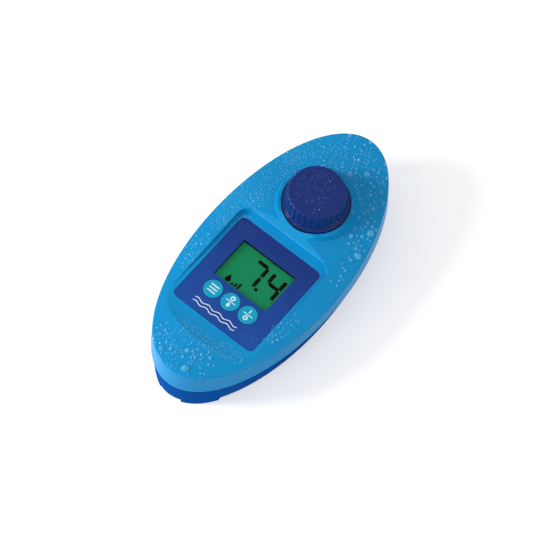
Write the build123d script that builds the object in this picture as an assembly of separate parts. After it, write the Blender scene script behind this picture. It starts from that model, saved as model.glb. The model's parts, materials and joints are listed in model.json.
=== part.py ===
from build123d import *
import math
import os

# Pool water photometer: a flat oval hand instrument with a round sample chamber under a fluted cap.
# Millimetres. X to the right of the display, Y towards the cap, Z up. The origin is on the ground,
# below the centre of the parting line.

# Housing outline
body_length = 159.5
body_width = 77.6
top_end_inset = 1.0
top_side_inset = 0.6
base_end_inset = 1.95
base_side_inset = 3.1
base_shift = -1.2

# Housing heights
foot_height = 4.0
lower_depth = 16.0
crown_rise = 17.2
crown_radius = 113.0
crown_edge_radius = 0.8

# Housing walls and the tongue between the shells
shell_wall = 2.6
floor_wall = 2.2
rim_step = 0.35
tongue_width = 0.8
tongue_depth = 1.4
tongue_root = 0.5
seal_height = 1.0
seat_gap = 0.1

# Feet
foot_width = 7.0
foot_draft = 0.4
notch_width = 13.0
foot_span = 13.5

# Sunken panel
panel_y = -18.9
panel_height = 32.65
panel_tilt = 2.86
pocket_width = 54.6
pocket_nose = 28.2
pocket_head = 30.6
pocket_corner = 5.0
scoop_radius = 26.4
head_wall_rise = 3.8
head_wall_lean = 1.0
facet_angle = 34.0
facet_round = 1.0
panel_wall = 2.0

# Front label
label_width = 49.5
label_length = 55.0
label_corner = 2.8
label_thickness = 0.35
label_sink = 0.05
label_gap = 0.15

# Display
view_width = 32.35
view_length = 23.75
view_offset = 6.0
pane_lap = 1.0
pane_thickness = 1.0
pane_depth = 1.2
gasket_thickness = 0.3
glass_thickness = 2.2
glass_step = 1.1
contact_ledge = 3.0
backlight_thickness = 2.5
frame_floor = 0.8
frame_wall = 1.0
strip_width = 1.8
strip_inset = 1.2

# Keys
key_radius = 4.9
key_pitch = 10.86
key_row = -12.86
key_gap = 0.1
key_rise = 0.35
key_flange = 0.4
key_flange_height = 0.8
key_travel = 0.5
key_edge = 0.2
key_dish_radius = 3.8
key_dish_depth = 0.15
stem_radius = 1.75
mat_thickness = 0.4
mat_rib = 1.2
mat_rib_gap = 0.3
switch_size = 6.0
switch_height = 3.1
switch_hole_depth = 2.2
plunger_spare = 0.2
key_names = ["left", "middle", "right"]

# Main board
board_thickness = 1.6
board_width = 43.0
board_length = 59.0
board_corner = 2.0
board_post_x = 18.4
board_post_v = 26.5
board_low_post_v = -24.0
board_post_radius = 2.4
board_screw_radius = 1.0
board_screw_head = 1.9
board_screw_head_height = 1.3
board_screw_length = 6.0
chip_size = 9.0
chip_height = 1.2

# Cap
cap_y = 34.5
cap_top_radius = 14.45
cap_low_radius = 15.7
cap_height = 12.5
cap_flange_radius = 16.8
cap_flange_height = 1.8
cap_edge = 0.7
cap_wall = 2.2
flute_count = 30
flute_radius = 1.3
flute_depth = 0.55
plug_length = 8.2
plug_flange_height = 2.0
plug_flange_lap = 1.2
cap_fit = 0.05
ring_width = 1.3
ring_height = 2.2
ring_drop = 3.6
ring_edge = 0.5

# Sample chamber
cell_bore = 12.0
plug_gap = 0.3
cell_wall = 2.0
cell_floor_z = 10.6
cell_floor = 2.4
cell_rim_radius = 17.05
cell_rim_height = 2.0
cell_rim_z = 38.2
collar_radius = 19.2
collar_slope = 1.2
collar_height = 1.5
collar_gap = 0.25
cell_seal_width = 1.4
cell_seal_height = 0.8

# Optics either side of the chamber
beam_z = 22.0
beam_radius = 3.0
flat_reach = 15.0
flat_width = 13.0
window_radius = 4.0
window_thickness = 1.5
holder_length = 6.6
holder_width = 14.0
lamp_radius = 1.5
lamp_circle = 2.2
lamp_length = 4.3
lamp_rim = 0.3
lamp_rim_height = 1.0
lamp_count = 3
filter_thickness = 1.5
filter_inset = 1.0
sensor_size = 5.0
sensor_height = 2.4
small_board_thickness = 1.0
small_board_size = 16.0
fit_gap = 0.1

# Batteries
battery_radius = 5.25
battery_length = 43.5
battery_tip_radius = 1.9
battery_tip_height = 1.0
battery_edge = 0.5
battery_gap = 0.7
battery_lift = 1.2
battery_y = -18.0
contact_room = 4.2
contact_thickness = 0.4
contact_width = 7.0
contact_inset = 0.5

# Battery bay and its door
bay_wall = 1.6
bay_clearance = 0.45
door_thickness = 1.8
door_lap = 3.0
door_end_lap = 9.0
door_corner = 4.0
door_gap = 0.3
door_gasket_width = 1.4
door_gasket_height = 0.6
door_rib_width = 1.6
seat_thickness = 2.4

# Screws
housing_screw_radius = 1.5
housing_screw_head = 2.9
housing_screw_head_height = 2.0
housing_screw_length = 22.0
housing_boss_radius = 3.6
housing_screw_inset = 7.5
nose_screw_y = -42.0
waist_screw_y = 6.0
head_screw_x = 14.0
head_screw_offset = 17.5
door_screw_radius = 1.2
door_screw_head = 2.2
door_screw_head_height = 1.2
door_screw_length = 6.5
door_screw_x = 9.5
door_boss_radius = 2.8
screw_gap = 0.05
slot_width = 0.7
slot_depth = 0.6
slot_share = 0.65

# Worked out from the sizes above
top_length = body_length - 2 * top_end_inset
top_width = body_width - 2 * top_side_inset
base_length = body_length - 2 * base_end_inset
base_width = body_width - 2 * base_side_inset
part_z = foot_height + lower_depth
crown_z = part_z + crown_rise
inner_floor_z = foot_height + floor_wall
panel = Plane(
    origin=(0, panel_y, panel_height),
    x_dir=(1, 0, 0),
    z_dir=(0, math.sin(math.radians(panel_tilt)), math.cos(math.radians(panel_tilt))),
)
panel_side = Plane(origin=panel.origin, x_dir=panel.y_dir, z_dir=(1, 0, 0))
cap_axis = Axis((0, cap_y, 0), (0, 0, 1))
cap_side = Plane(origin=(0, cap_y, 0), x_dir=(1, 0, 0), z_dir=(0, -1, 0))
door_bottom_z = foot_height
door_top_z = door_bottom_z + door_thickness
door_seat_z = door_top_z + door_gasket_height
battery_z = door_top_z + battery_lift + battery_radius
battery_x = battery_radius + battery_gap / 2
bay_width = 2 * (battery_x + battery_radius + bay_clearance)
bay_length = battery_length + battery_tip_height + 2 * contact_room
bay_top_z = battery_z + battery_radius + bay_clearance
contact_far = bay_width / 2 - contact_inset
pane_top = -pane_depth
glass_top = pane_top - pane_thickness - gasket_thickness
light_top = glass_top - glass_thickness
frame_top = light_top - backlight_thickness
board_top = frame_top - frame_floor
board_bottom = board_top - board_thickness
switch_top = board_top + switch_height
plunger_top = switch_top + key_travel + plunger_spare
key_flange_top = -panel_wall - fit_gap
mat_top = key_flange_top - key_flange_height - key_travel - fit_gap
key_places = [(side * key_pitch, key_row) for side in (-1, 0, 1)]
board_posts = [
    (side * board_post_x, v) for side in (-1, 1) for v in (board_post_v, board_low_post_v)
]
housing_screws_at = [(side * head_screw_x, cap_y + head_screw_offset) for side in (-1, 1)]
for screw_y in (nose_screw_y, waist_screw_y):
    along = screw_y / (body_length / 2 - housing_screw_inset)
    screw_x = (body_width / 2 - housing_screw_inset) * math.sqrt(1 - along**2)
    housing_screws_at += [(-screw_x, screw_y), (screw_x, screw_y)]
door_length = bay_length + 2 * door_end_lap
door_width = bay_width + 2 * door_lap
door_screw_y = bay_length / 2 + door_end_lap / 2
door_screws_at = [
    (x_side * door_screw_x, battery_y + y_side * door_screw_y)
    for x_side in (-1, 1)
    for y_side in (-1, 1)
]


def oval(length, width, z, shift=0.0):
    # Level ellipse, long along Y
    return Pos(0, shift, z) * Ellipse(width / 2, length / 2)


def oval_form(low, high):
    # Solid between two level ovals
    return loft([oval(*low), oval(*high)])


def oval_ring(outside, inside, low_z, high_z):
    # Upright ring between two insets of the body outline
    outer = oval(body_length - 2 * outside, body_width - 2 * outside, low_z)
    inner = oval(body_length - 2 * inside, body_width - 2 * inside, low_z)
    return extrude(outer - inner, high_z - low_z)


def bar(x_low, x_high, y_low, y_high, z_low, z_high):
    # Box from its faces
    middle = ((x_low + x_high) / 2, (y_low + y_high) / 2, (z_low + z_high) / 2)
    return Pos(*middle) * Box(x_high - x_low, y_high - y_low, z_high - z_low)


def rod(x, y, radius, z_low, z_high):
    # Upright cylinder
    return Pos(x, y, (z_low + z_high) / 2) * Cylinder(radius, z_high - z_low)


def plate(x, y, width, length, corner, z_low, z_high):
    # Level plate with rounded corners
    return Pos(x, y, z_low) * extrude(RectangleRounded(width, length, corner), z_high - z_low)


def side_rod(radius, x_low, x_high, y=cap_y, z=beam_z):
    # Cylinder along X on the light path
    turned = Rot(0, 90, 0) * Cylinder(radius, abs(x_high - x_low))
    return Pos((x_low + x_high) / 2, y, z) * turned


def turned_ring(inner_radius, outer_radius, z_low, z_high):
    # Flat ring about the cap axis
    return rod(0, cap_y, outer_radius, z_low, z_high) - rod(0, cap_y, inner_radius, z_low, z_high)


def on_panel(shape):
    # Move a shape from the panel's own axes to the instrument
    return panel.location * shape


def crown_form(inset):
    # The upper shell's outer form, or its cavity when inset by the wall
    low = (body_length - 2 * inset, body_width - 2 * inset, part_z)
    high = (top_length - 2 * inset, top_width - 2 * inset, crown_z)
    radius = crown_radius - inset
    crown = Pos(0, 0, crown_z - crown_radius) * Rot(90, 0, 0) * Cylinder(radius, 2 * body_length)
    return oval_form(low, high) & crown


def pocket(grow):
    # The sunken panel: a scoop at the nose, a flat pad and an upright wall at the head
    radius = scoop_radius + grow
    open_height = crown_rise / 2
    sweep = math.acos(1 - (open_height + grow) / radius)
    scoop_end = (-pocket_nose - radius * math.sin(sweep), open_height)
    scoop_middle = (
        -pocket_nose - radius * math.sin(sweep / 2),
        scoop_radius - radius * math.cos(sweep / 2),
    )
    pad_start = (-pocket_nose, -grow)
    pad_end = (pocket_head + grow, -grow)
    lean = head_wall_lean / head_wall_rise
    wall_top = (pocket_head + grow + lean * (open_height + grow), open_height)
    outline = [
        ThreePointArc(scoop_end, scoop_middle, pad_start),
        Line(pad_start, pad_end),
        Line(pad_end, wall_top),
        Line(wall_top, scoop_end),
    ]
    half_width = pocket_width / 2 + grow
    block = extrude(panel_side * make_face(outline), half_width, both=True)
    corners = block.edges().filter_by(lambda edge: is_head_corner(edge, half_width, pocket_head))
    return fillet(corners, pocket_corner + grow)


def is_head_corner(edge, half_width, head):
    # The upright edges where the head wall meets the side walls
    middle = panel.to_local_coords(edge.center())
    beside = abs(abs(middle.X) - half_width) < 0.01
    return beside and middle.Y > head and 0.1 < middle.Z < crown_rise / 2 - 0.1


def head_facet():
    # What is cut away above the sloping facet between the head wall and the crown
    edge_v = pocket_head + head_wall_lean
    edge_w = head_wall_rise
    slope = math.radians(facet_angle)
    wall_slope = math.atan2(head_wall_rise, head_wall_lean)
    low = (edge_v - facet_round * math.cos(wall_slope), edge_w - facet_round * math.sin(wall_slope))
    high = (edge_v + facet_round * math.cos(slope), edge_w + facet_round * math.sin(slope))
    reach = crown_rise
    far = (edge_v + reach * math.cos(slope), edge_w + reach * math.sin(slope))
    start = (math.cos(wall_slope), math.sin(wall_slope))
    outline = [
        TangentArc(low, high, tangent=start),
        Line(high, far),
        Line(far, (low[0], far[1])),
        Line((low[0], far[1]), low),
    ]
    half_width = pocket_width / 2 - pocket_corner
    return extrude(panel_side * make_face(outline), half_width, both=True)


def collar_form():
    # The raised ring round the cap, with its sloping flank
    low_z = crown_z - shell_wall - cell_seal_height
    top_z = crown_z + collar_height
    slope = collar_slope * (top_z - low_z) / (collar_height + collar_slope)
    profile = Polyline(
        (0, low_z),
        (collar_radius + slope, low_z),
        (collar_radius, top_z),
        (0, top_z),
        close=True,
    )
    return revolve(cap_side * make_face(profile), cap_axis)


def screw(x, y, radius, head_radius, head_height, length, bottom_z):
    # Cheese-head screw driven upwards, with a cross recess
    head = rod(x, y, head_radius, bottom_z, bottom_z + head_height)
    shank = rod(x, y, radius, bottom_z + head_height, bottom_z + length)
    arm = head_radius * slot_share
    depth_z = bottom_z + slot_depth
    slot_one = bar(x - arm, x + arm, y - slot_width / 2, y + slot_width / 2, bottom_z, depth_z)
    slot_two = bar(x - slot_width / 2, x + slot_width / 2, y - arm, y + arm, bottom_z, depth_z)
    return head + shank - slot_one - slot_two


def upper_shell():
    outer = crown_form(0)
    rim = outer.edges().filter_by(lambda edge: edge.center().Z > part_z + 1 and not is_straight(edge))
    outer = fillet(rim, crown_edge_radius)
    skin = outer - pocket(0) - head_facet()
    shell = skin - crown_form(shell_wall)
    shell += pocket(panel_wall) & skin
    shell += collar_form() - pocket(0) - head_facet()
    for x, y in housing_screws_at:
        shell += rod(x, y, housing_boss_radius, part_z + seat_gap, crown_z) & skin
    shell += oval_ring(shell_wall - tongue_width, shell_wall, part_z - tongue_depth, part_z + tongue_root)
    for x, v in board_posts:
        shell += on_panel(rod(x, v, board_post_radius, board_top, -panel_wall / 2))
    shell += on_panel(key_mat_ribs())
    shell -= on_panel(panel_openings())
    ledge_z = cell_rim_z - cell_rim_height
    shell -= rod(0, cap_y, cell_rim_radius + collar_gap, ledge_z, crown_z + 2 * collar_height)
    shell -= rod(0, cap_y, cell_bore + cell_wall + collar_gap, part_z, crown_z)
    seal_inner = cell_rim_radius - cell_seal_width - fit_gap
    shell -= turned_ring(seal_inner, cell_rim_radius, ledge_z - cell_seal_height, ledge_z)
    for x, y in housing_screws_at:
        pilot_top = foot_height + housing_screw_length + screw_gap
        shell -= rod(x, y, housing_screw_radius + screw_gap, part_z, pilot_top)
    return shell


def is_straight(edge):
    return edge.geom_type == GeomType.LINE


def key_mat_ribs():
    # Three ribs that the key mat is stuck to, open towards the display
    half_x = key_pitch + key_radius + key_flange + mat_rib_gap
    low_v = key_row - key_radius - key_flange - mat_rib_gap
    high_v = view_offset - view_length / 2 - pane_lap - fit_gap
    outer = bar(-half_x - mat_rib, half_x + mat_rib, low_v - mat_rib, high_v, mat_top, -panel_wall / 2)
    inner = bar(-half_x, half_x, low_v, high_v + 1, mat_top, -panel_wall / 2)
    return outer - inner


def panel_openings():
    # Label recess, display opening with the seat of its pane, and the key holes
    recess_width = label_width + 2 * label_gap
    recess_length = label_length + 2 * label_gap
    depth = label_thickness + label_sink
    cuts = plate(0, 0, recess_width, recess_length, label_corner + label_gap, -depth, 0.5)
    cuts += bar(*view_limits(0), -panel_wall - 1, 0)
    cuts += bar(*view_limits(pane_lap + fit_gap), -panel_wall - 1, pane_top)
    for x, v in key_places:
        cuts += rod(x, v, key_radius + key_gap, -panel_wall - 1, 0)
    for x, v in board_posts:
        hole_top = board_bottom + board_screw_length + screw_gap
        cuts += rod(x, v, board_screw_radius + screw_gap, board_top, hole_top)
    return cuts


def view_limits(grow):
    # Limits of the display opening on the panel, grown all round
    return (
        -view_width / 2 - grow,
        view_width / 2 + grow,
        view_offset - view_length / 2 - grow,
        view_offset + view_length / 2 + grow,
    )


def lower_form(low_z, high_z):
    # The lower shell's outer form between two heights
    high = (body_length - 2 * rim_step, body_width - 2 * rim_step, part_z)
    form = oval_form((base_length, base_width, foot_height, base_shift), high)
    return form & bar(-body_width, body_width, -body_length, body_length, low_z, high_z)


def lower_shell():
    shell = lower_form(foot_height, part_z)
    inset = rim_step + shell_wall
    cavity_low = (base_length - 2 * shell_wall, base_width - 2 * shell_wall, inner_floor_z, base_shift)
    cavity_high = (body_length - 2 * inset, body_width - 2 * inset, part_z)
    shell -= oval_form(cavity_low, cavity_high)
    rebate_inset = shell_wall - tongue_width - seat_gap
    rebate_z = part_z - tongue_depth - seal_height
    shell -= oval_ring(rebate_inset, inset + 1, rebate_z, part_z)
    shell += feet()
    shell += bay_block()
    for x, y in housing_screws_at:
        shell += rod(x, y, housing_boss_radius, foot_height, part_z)
    shell += rod(0, cap_y, cell_bore + cell_wall, inner_floor_z, cell_floor_z - cell_floor)
    shell -= bay_space()
    for x, y in housing_screws_at:
        head_top = foot_height + housing_screw_head_height
        shell -= rod(x, y, housing_screw_radius + screw_gap, foot_height, part_z)
        shell -= rod(x, y, housing_screw_head + fit_gap, foot_height, head_top)
    return shell


def feet():
    # Four moulded feet that carry on the side wall, either side of a notch at nose and head
    low = (base_length - 2 * foot_draft, base_width - 2 * foot_draft, 0, base_shift)
    ring = oval_form(low, (base_length, base_width, foot_height, base_shift))
    ring -= Pos(0, base_shift, foot_height / 2) * extrude(
        Ellipse(base_width / 2 - foot_width, base_length / 2 - foot_width), foot_height, both=True
    )
    result = Part()
    near = notch_width / 2
    far = near + foot_span
    for side in (-1, 1):
        low_x, high_x = sorted((side * near, side * far))
        for end in (-1, 1):
            low_y, high_y = sorted((0, end * body_length))
            result += ring & bar(low_x, high_x, low_y, high_y, 0, foot_height)
    return result


def bay_block():
    # The battery bay's walls and roof, with the thicker seat of the door
    half_width = bay_width / 2 + bay_wall
    half_length = bay_length / 2 + bay_wall
    walls = bar(
        -half_width, half_width, battery_y - half_length, battery_y + half_length,
        foot_height, bay_top_z + bay_wall,
    )
    seat_width = door_width + 2 * bay_wall
    seat_length = door_length + 2 * bay_wall
    seat_top = door_seat_z + seat_thickness
    walls += plate(0, battery_y, seat_width, seat_length, door_corner, foot_height, seat_top)
    for x, y in door_screws_at:
        boss_top = door_bottom_z + door_screw_length + bay_wall
        walls += rod(x, y, door_boss_radius, foot_height, boss_top)
    return walls


def bay_space():
    # The bay's hollow, the door's seat, the gasket groove's floor and the door screws' holes
    space = bar(
        -bay_width / 2, bay_width / 2, battery_y - bay_length / 2, battery_y + bay_length / 2,
        foot_height - 1, bay_top_z,
    )
    seat_width = door_width + 2 * door_gap
    seat_length = door_length + 2 * door_gap
    space += plate(0, battery_y, seat_width, seat_length, door_corner, foot_height - 1, door_seat_z)
    for x, y in door_screws_at:
        hole_top = door_bottom_z + door_screw_length + screw_gap
        space += rod(x, y, door_screw_radius + screw_gap, foot_height, hole_top)
    return space


def shell_seal():
    inset = shell_wall - tongue_width
    low_z = part_z - tongue_depth - seal_height
    return oval_ring(inset, shell_wall, low_z, low_z + seal_height)


def housing_screws():
    group = Part()
    for x, y in housing_screws_at:
        group += screw(
            x, y, housing_screw_radius, housing_screw_head, housing_screw_head_height,
            housing_screw_length, foot_height,
        )
    return group


def front_label():
    low = -label_thickness - label_sink
    sheet = plate(0, 0, label_width, label_length, label_corner, low, -label_sink)
    sheet -= bar(*view_limits(0), low, 0)
    for x, v in key_places:
        sheet -= rod(x, v, key_radius + key_gap, low, 0)
    return on_panel(sheet)


def display_pane():
    return on_panel(bar(*view_limits(pane_lap), pane_top - pane_thickness, pane_top))


def display_gasket():
    top = pane_top - pane_thickness
    ring = bar(*view_limits(pane_lap), top - gasket_thickness, top)
    return on_panel(ring - bar(*view_limits(0), top - gasket_thickness, top))


def display_glass():
    # Two sheets of glass, the front one with the ledge that carries the contacts
    x_low, x_high, v_low, v_high = view_limits(pane_lap)
    front = bar(x_low, x_high, v_low, v_high + contact_ledge, glass_top - glass_step, glass_top)
    rear = bar(x_low, x_high, v_low, v_high, light_top, glass_top - glass_step)
    return on_panel(front + rear)


def backlight_panel():
    x_low, x_high, v_low, v_high = view_limits(pane_lap)
    return on_panel(bar(x_low, x_high, v_low, v_high, frame_top, light_top))


def contact_strip_limits(grow):
    x_low, x_high, v_low, v_high = view_limits(pane_lap)
    middle = v_high + contact_ledge / 2 + fit_gap
    half = strip_width / 2 + grow
    return x_low + strip_inset - grow, x_high - strip_inset + grow, middle - half, middle + half


def contact_strip():
    return on_panel(bar(*contact_strip_limits(0), board_top, glass_top - glass_step))


def display_frame():
    # Tray under the glass and light panel, with side walls and a slot for the contact strip
    x_low, x_high, v_low, v_high = view_limits(pane_lap + fit_gap)
    head = v_high + contact_ledge
    tray = bar(x_low - frame_wall, x_high + frame_wall, v_low, head + frame_wall, board_top, glass_top)
    tray -= bar(x_low, x_high, v_low - 1, head, frame_top, glass_top)
    tray -= bar(*contact_strip_limits(fit_gap), board_top, frame_top)
    return on_panel(tray)


def key(place):
    # A round key with a finger dish, a flange below the panel and a stem to its switch
    x, v = place
    body = rod(x, v, key_radius, key_flange_top, key_rise)
    body = chamfer(body.edges().sort_by(Axis.Z)[-1], key_edge)
    ball_radius = (key_dish_radius**2 + key_dish_depth**2) / (2 * key_dish_depth)
    body -= Pos(x, v, key_rise + ball_radius - key_dish_depth) * Sphere(ball_radius)
    bottom = key_flange_top - key_flange_height
    body += rod(x, v, key_radius + key_flange, bottom, key_flange_top)
    body += rod(x, v, stem_radius, plunger_top, bottom)
    return on_panel(body)


def key_plunger(place):
    x, v = place
    return on_panel(rod(x, v, stem_radius - fit_gap, switch_top - switch_hole_depth / 2, plunger_top))


def key_switch(place):
    x, v = place
    half = switch_size / 2
    body = bar(x - half, x + half, v - half, v + half, board_top, switch_top)
    body -= rod(x, v, stem_radius, switch_top - switch_hole_depth, switch_top)
    return on_panel(body)


def key_mat():
    half_x = key_pitch + key_radius + key_flange + mat_rib_gap + mat_rib
    low_v = key_row - key_radius - key_flange - mat_rib_gap - mat_rib
    high_v = view_offset - view_length / 2 - pane_lap - 2 * fit_gap
    sheet = bar(-half_x, half_x, low_v, high_v, mat_top - mat_thickness, mat_top)
    for x, v in key_places:
        sheet -= rod(x, v, stem_radius + 2 * fit_gap, mat_top - mat_thickness, mat_top)
    return on_panel(sheet)


def main_board():
    board = plate(0, 0, board_width, board_length, board_corner, board_bottom, board_top)
    for x, v in board_posts:
        board -= rod(x, v, board_screw_radius + screw_gap, board_bottom, board_top)
    return on_panel(board)


def board_screws():
    group = Part()
    for x, v in board_posts:
        group += screw(
            x, v, board_screw_radius, board_screw_head, board_screw_head_height,
            board_screw_length + board_screw_head_height, board_bottom - board_screw_head_height,
        )
    return on_panel(group)


def controller_chip():
    half = chip_size / 2
    return on_panel(bar(-half, half, -half, half, board_bottom - chip_height, board_bottom))


def sample_cell():
    # Turned cup with a rim, and flats on both sides for the light path's windows
    outer = cell_bore + cell_wall
    low_z = cell_floor_z - cell_floor
    cup = rod(0, cap_y, outer, low_z, cell_rim_z)
    cup += rod(0, cap_y, cell_rim_radius, cell_rim_z - cell_rim_height, cell_rim_z)
    half = flat_width / 2
    cup += bar(-flat_reach, flat_reach, cap_y - half, cap_y + half, beam_z - half, beam_z + half)
    cup -= rod(0, cap_y, cell_bore, cell_floor_z, cell_rim_z)
    cup -= side_rod(beam_radius, -flat_reach, flat_reach)
    seat = flat_reach - window_thickness
    for side in (-1, 1):
        cup -= side_rod(window_radius + screw_gap, side * seat, side * flat_reach)
    return cup


def cell_window(side):
    return side_rod(window_radius, side * (flat_reach - window_thickness), side * flat_reach)


def cell_seal():
    top = cell_rim_z - cell_rim_height
    inner = cell_rim_radius - cell_seal_width
    return turned_ring(inner, cell_rim_radius - fit_gap, top - cell_seal_height, top)


def lamp_places():
    # Lamp centres about the light path
    places = []
    for count in range(lamp_count):
        turn = math.radians(90 + 360 * count / lamp_count)
        places.append((cap_y + lamp_circle * math.cos(turn), beam_z + lamp_circle * math.sin(turn)))
    return places


def lamp_holder():
    half = holder_width / 2
    low_x = -flat_reach - holder_length
    block = bar(low_x, -flat_reach, cap_y - half, cap_y + half, beam_z - half, beam_z + half)
    front = low_x + lamp_rim_height + lamp_length
    block -= side_rod(lamp_circle + lamp_radius, front, -flat_reach)
    for y, z in lamp_places():
        block -= side_rod(lamp_radius + fit_gap, low_x, front, y, z)
        block -= side_rod(lamp_radius + lamp_rim + screw_gap, low_x, low_x + lamp_rim_height, y, z)
    return block


def lamp(place):
    # Round-nosed lamp with a rim against the small board
    y, z = place
    low_x = -flat_reach - holder_length
    rim = side_rod(lamp_radius + lamp_rim, low_x, low_x + lamp_rim_height, y, z)
    body = side_rod(lamp_radius, low_x, low_x + lamp_rim_height + lamp_length - lamp_radius, y, z)
    nose_x = low_x + lamp_rim_height + lamp_length - lamp_radius
    return rim + body + Pos(nose_x, y, z) * Sphere(lamp_radius)


def small_board(side):
    half = small_board_size / 2
    x_low, x_high = sorted(
        (side * (flat_reach + holder_length), side * (flat_reach + holder_length + small_board_thickness))
    )
    return bar(x_low, x_high, cap_y - half, cap_y + half, beam_z - half, beam_z + half)


def sensor_holder():
    half = holder_width / 2
    high_x = flat_reach + holder_length
    filter_x = flat_reach + filter_inset
    block = bar(flat_reach, high_x, cap_y - half, cap_y + half, beam_z - half, beam_z + half)
    block -= side_rod(window_radius + screw_gap, flat_reach, filter_x + filter_thickness)
    block -= side_rod(beam_radius, flat_reach, high_x)
    return block - sensor_block(fit_gap)


def optical_filter():
    filter_x = flat_reach + filter_inset
    return side_rod(window_radius, filter_x, filter_x + filter_thickness)


def sensor_block(grow):
    # The sensor's body, or its pocket when grown sideways
    high_x = flat_reach + holder_length
    low_x = high_x - sensor_height
    half = sensor_size / 2 + grow
    return bar(low_x, high_x, cap_y - half, cap_y + half, beam_z - half, beam_z + half)


def cap_knob():
    # Tapered fluted grip on a plain flange, hollow underneath
    flange_z = cell_rim_z + cap_flange_height
    top_z = cell_rim_z + cap_height
    grip = revolve(
        cap_side * make_face(Polyline(
            (0, cell_rim_z), (cap_flange_radius, cell_rim_z), (cap_flange_radius, flange_z),
            (cap_low_radius, flange_z), (cap_top_radius, top_z), (0, top_z), close=True,
        )),
        cap_axis,
    )
    round_edges = grip.edges().filter_by(lambda edge: is_knob_edge(edge, flange_z, top_z))
    grip = chamfer(round_edges, cap_edge)
    grip -= flutes(flange_z, top_z)
    socket_radius = cell_bore + plug_flange_lap + cap_fit
    socket_z = cell_rim_z + plug_flange_height
    grip -= rod(0, cap_y, socket_radius, cell_rim_z, socket_z)
    grip -= rod(0, cap_y, cap_top_radius - cap_wall - flute_depth, socket_z, top_z - cap_wall)
    return grip


def is_knob_edge(edge, flange_z, top_z):
    height = edge.center().Z
    at_top = abs(height - top_z) < 0.01
    at_flange = abs(height - flange_z) < 0.01 and abs(edge.radius - cap_flange_radius) < 0.01
    return at_top or at_flange


def flutes(flange_z, top_z):
    # Round grooves that follow the grip's taper
    rise = top_z - flange_z
    lean = math.degrees(math.atan2(cap_low_radius - cap_top_radius, rise))
    middle_radius = (cap_low_radius + cap_top_radius) / 2 + flute_radius - flute_depth
    middle_z = (flange_z + top_z) / 2 + cap_edge
    groove = Pos(middle_radius, 0, middle_z) * Rot(0, -lean, 0) * Cylinder(flute_radius, rise)
    copies = [Rot(0, 0, 360 * count / flute_count) * groove for count in range(flute_count)]
    return Pos(0, cap_y, 0) * Compound(copies)


def cap_plug():
    # Plug that closes the chamber, with a groove for its sealing ring
    radius = cell_bore - plug_gap
    low_z = cell_rim_z - plug_length
    plug = rod(0, cap_y, radius, low_z, cell_rim_z)
    plug += rod(0, cap_y, cell_bore + plug_flange_lap, cell_rim_z, cell_rim_z + plug_flange_height)
    groove_top = cell_rim_z - ring_drop + cap_fit
    groove_low = cell_rim_z - ring_drop - ring_height - cap_fit
    plug -= turned_ring(cell_bore - ring_width - 2 * cap_fit, radius + 1, groove_low, groove_top)
    return plug


def cap_ring():
    top = cell_rim_z - ring_drop
    outer = cell_bore - cap_fit
    ring = turned_ring(cell_bore - ring_width - cap_fit, outer, top - ring_height, top)
    rims = ring.edges().filter_by(GeomType.CIRCLE).filter_by(lambda edge: edge.radius > outer - fit_gap)
    return chamfer(rims, ring_edge)


def battery(side):
    # Cell lying along Y, one each way round
    body = Cylinder(battery_radius, battery_length)
    body = chamfer(body.edges().filter_by(GeomType.CIRCLE), battery_edge)
    tip_z = battery_length / 2 + battery_tip_height / 2
    body += Pos(0, 0, tip_z) * Cylinder(battery_tip_radius, battery_tip_height)
    laid = Rot(-90 * side, 0, 0) * body
    return Pos(side * battery_x, battery_y, battery_z) * laid


def battery_contact(end, x_low, x_high, positive_sides):
    # Bent leaf springs on the bay's end wall
    wall_y = battery_y + end * bay_length / 2
    low_z = battery_z - contact_width / 2
    high_z = battery_z + contact_width / 2
    y_low, y_high = sorted((wall_y, wall_y - end * contact_thickness))
    leaf = bar(x_low, x_high, y_low, y_high, low_z, high_z)
    for side in (-1, 1):
        if not x_low < side * battery_x < x_high:
            continue
        tip = battery_tip_height if side in positive_sides else 0
        face = battery_y + end * (battery_length / 2 + tip)
        reach = abs(wall_y - face) - fit_gap
        leaf += leaf_bow(side * battery_x, wall_y, end, reach)
    return leaf


def leaf_bow(x, wall_y, end, reach):
    # A sprung tongue bowed out from the end wall towards the cell
    half = contact_width / 2
    inner = half - contact_thickness
    outline = [
        ThreePointArc((-half, 0), (0, reach), (half, 0)),
        Line((half, 0), (inner, 0)),
        ThreePointArc((inner, 0), (0, reach - contact_thickness), (-inner, 0)),
        Line((-inner, 0), (-half, 0)),
    ]
    view = Plane(origin=(x, wall_y, battery_z), x_dir=(1, 0, 0), z_dir=(0, 0, -end))
    return extrude(view * make_face(outline), contact_width / 4, both=True)


def battery_door():
    # Flat door in the base with two ribs under the cells and counterbored screw holes
    door = plate(0, battery_y, door_width, door_length, door_corner - door_gap, door_bottom_z, door_top_z)
    rib_top = battery_z - battery_radius - fit_gap
    for side in (-1, 1):
        x = side * battery_x
        half = door_rib_width / 2
        reach = battery_length / 3
        door += bar(x - half, x + half, battery_y - reach, battery_y + reach, door_top_z, rib_top)
    for x, y in door_screws_at:
        door -= rod(x, y, door_screw_radius + fit_gap, door_bottom_z, door_top_z)
        door -= rod(x, y, door_screw_head + fit_gap, door_bottom_z, door_bottom_z + door_screw_head_height)
    return door


def door_gasket():
    inner_width = bay_width + 2 * fit_gap
    inner_length = bay_length + 2 * fit_gap
    grow = 2 * door_gasket_width
    outer = plate(
        0, battery_y, inner_width + grow, inner_length + grow, door_corner / 2, door_top_z, door_seat_z
    )
    return outer - bar(
        -inner_width / 2, inner_width / 2, battery_y - inner_length / 2, battery_y + inner_length / 2,
        door_top_z, door_seat_z,
    )


def door_screws():
    group = Part()
    for x, y in door_screws_at:
        group += screw(
            x, y, door_screw_radius, door_screw_head, door_screw_head_height,
            door_screw_length, door_bottom_z,
        )
    return group


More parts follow.
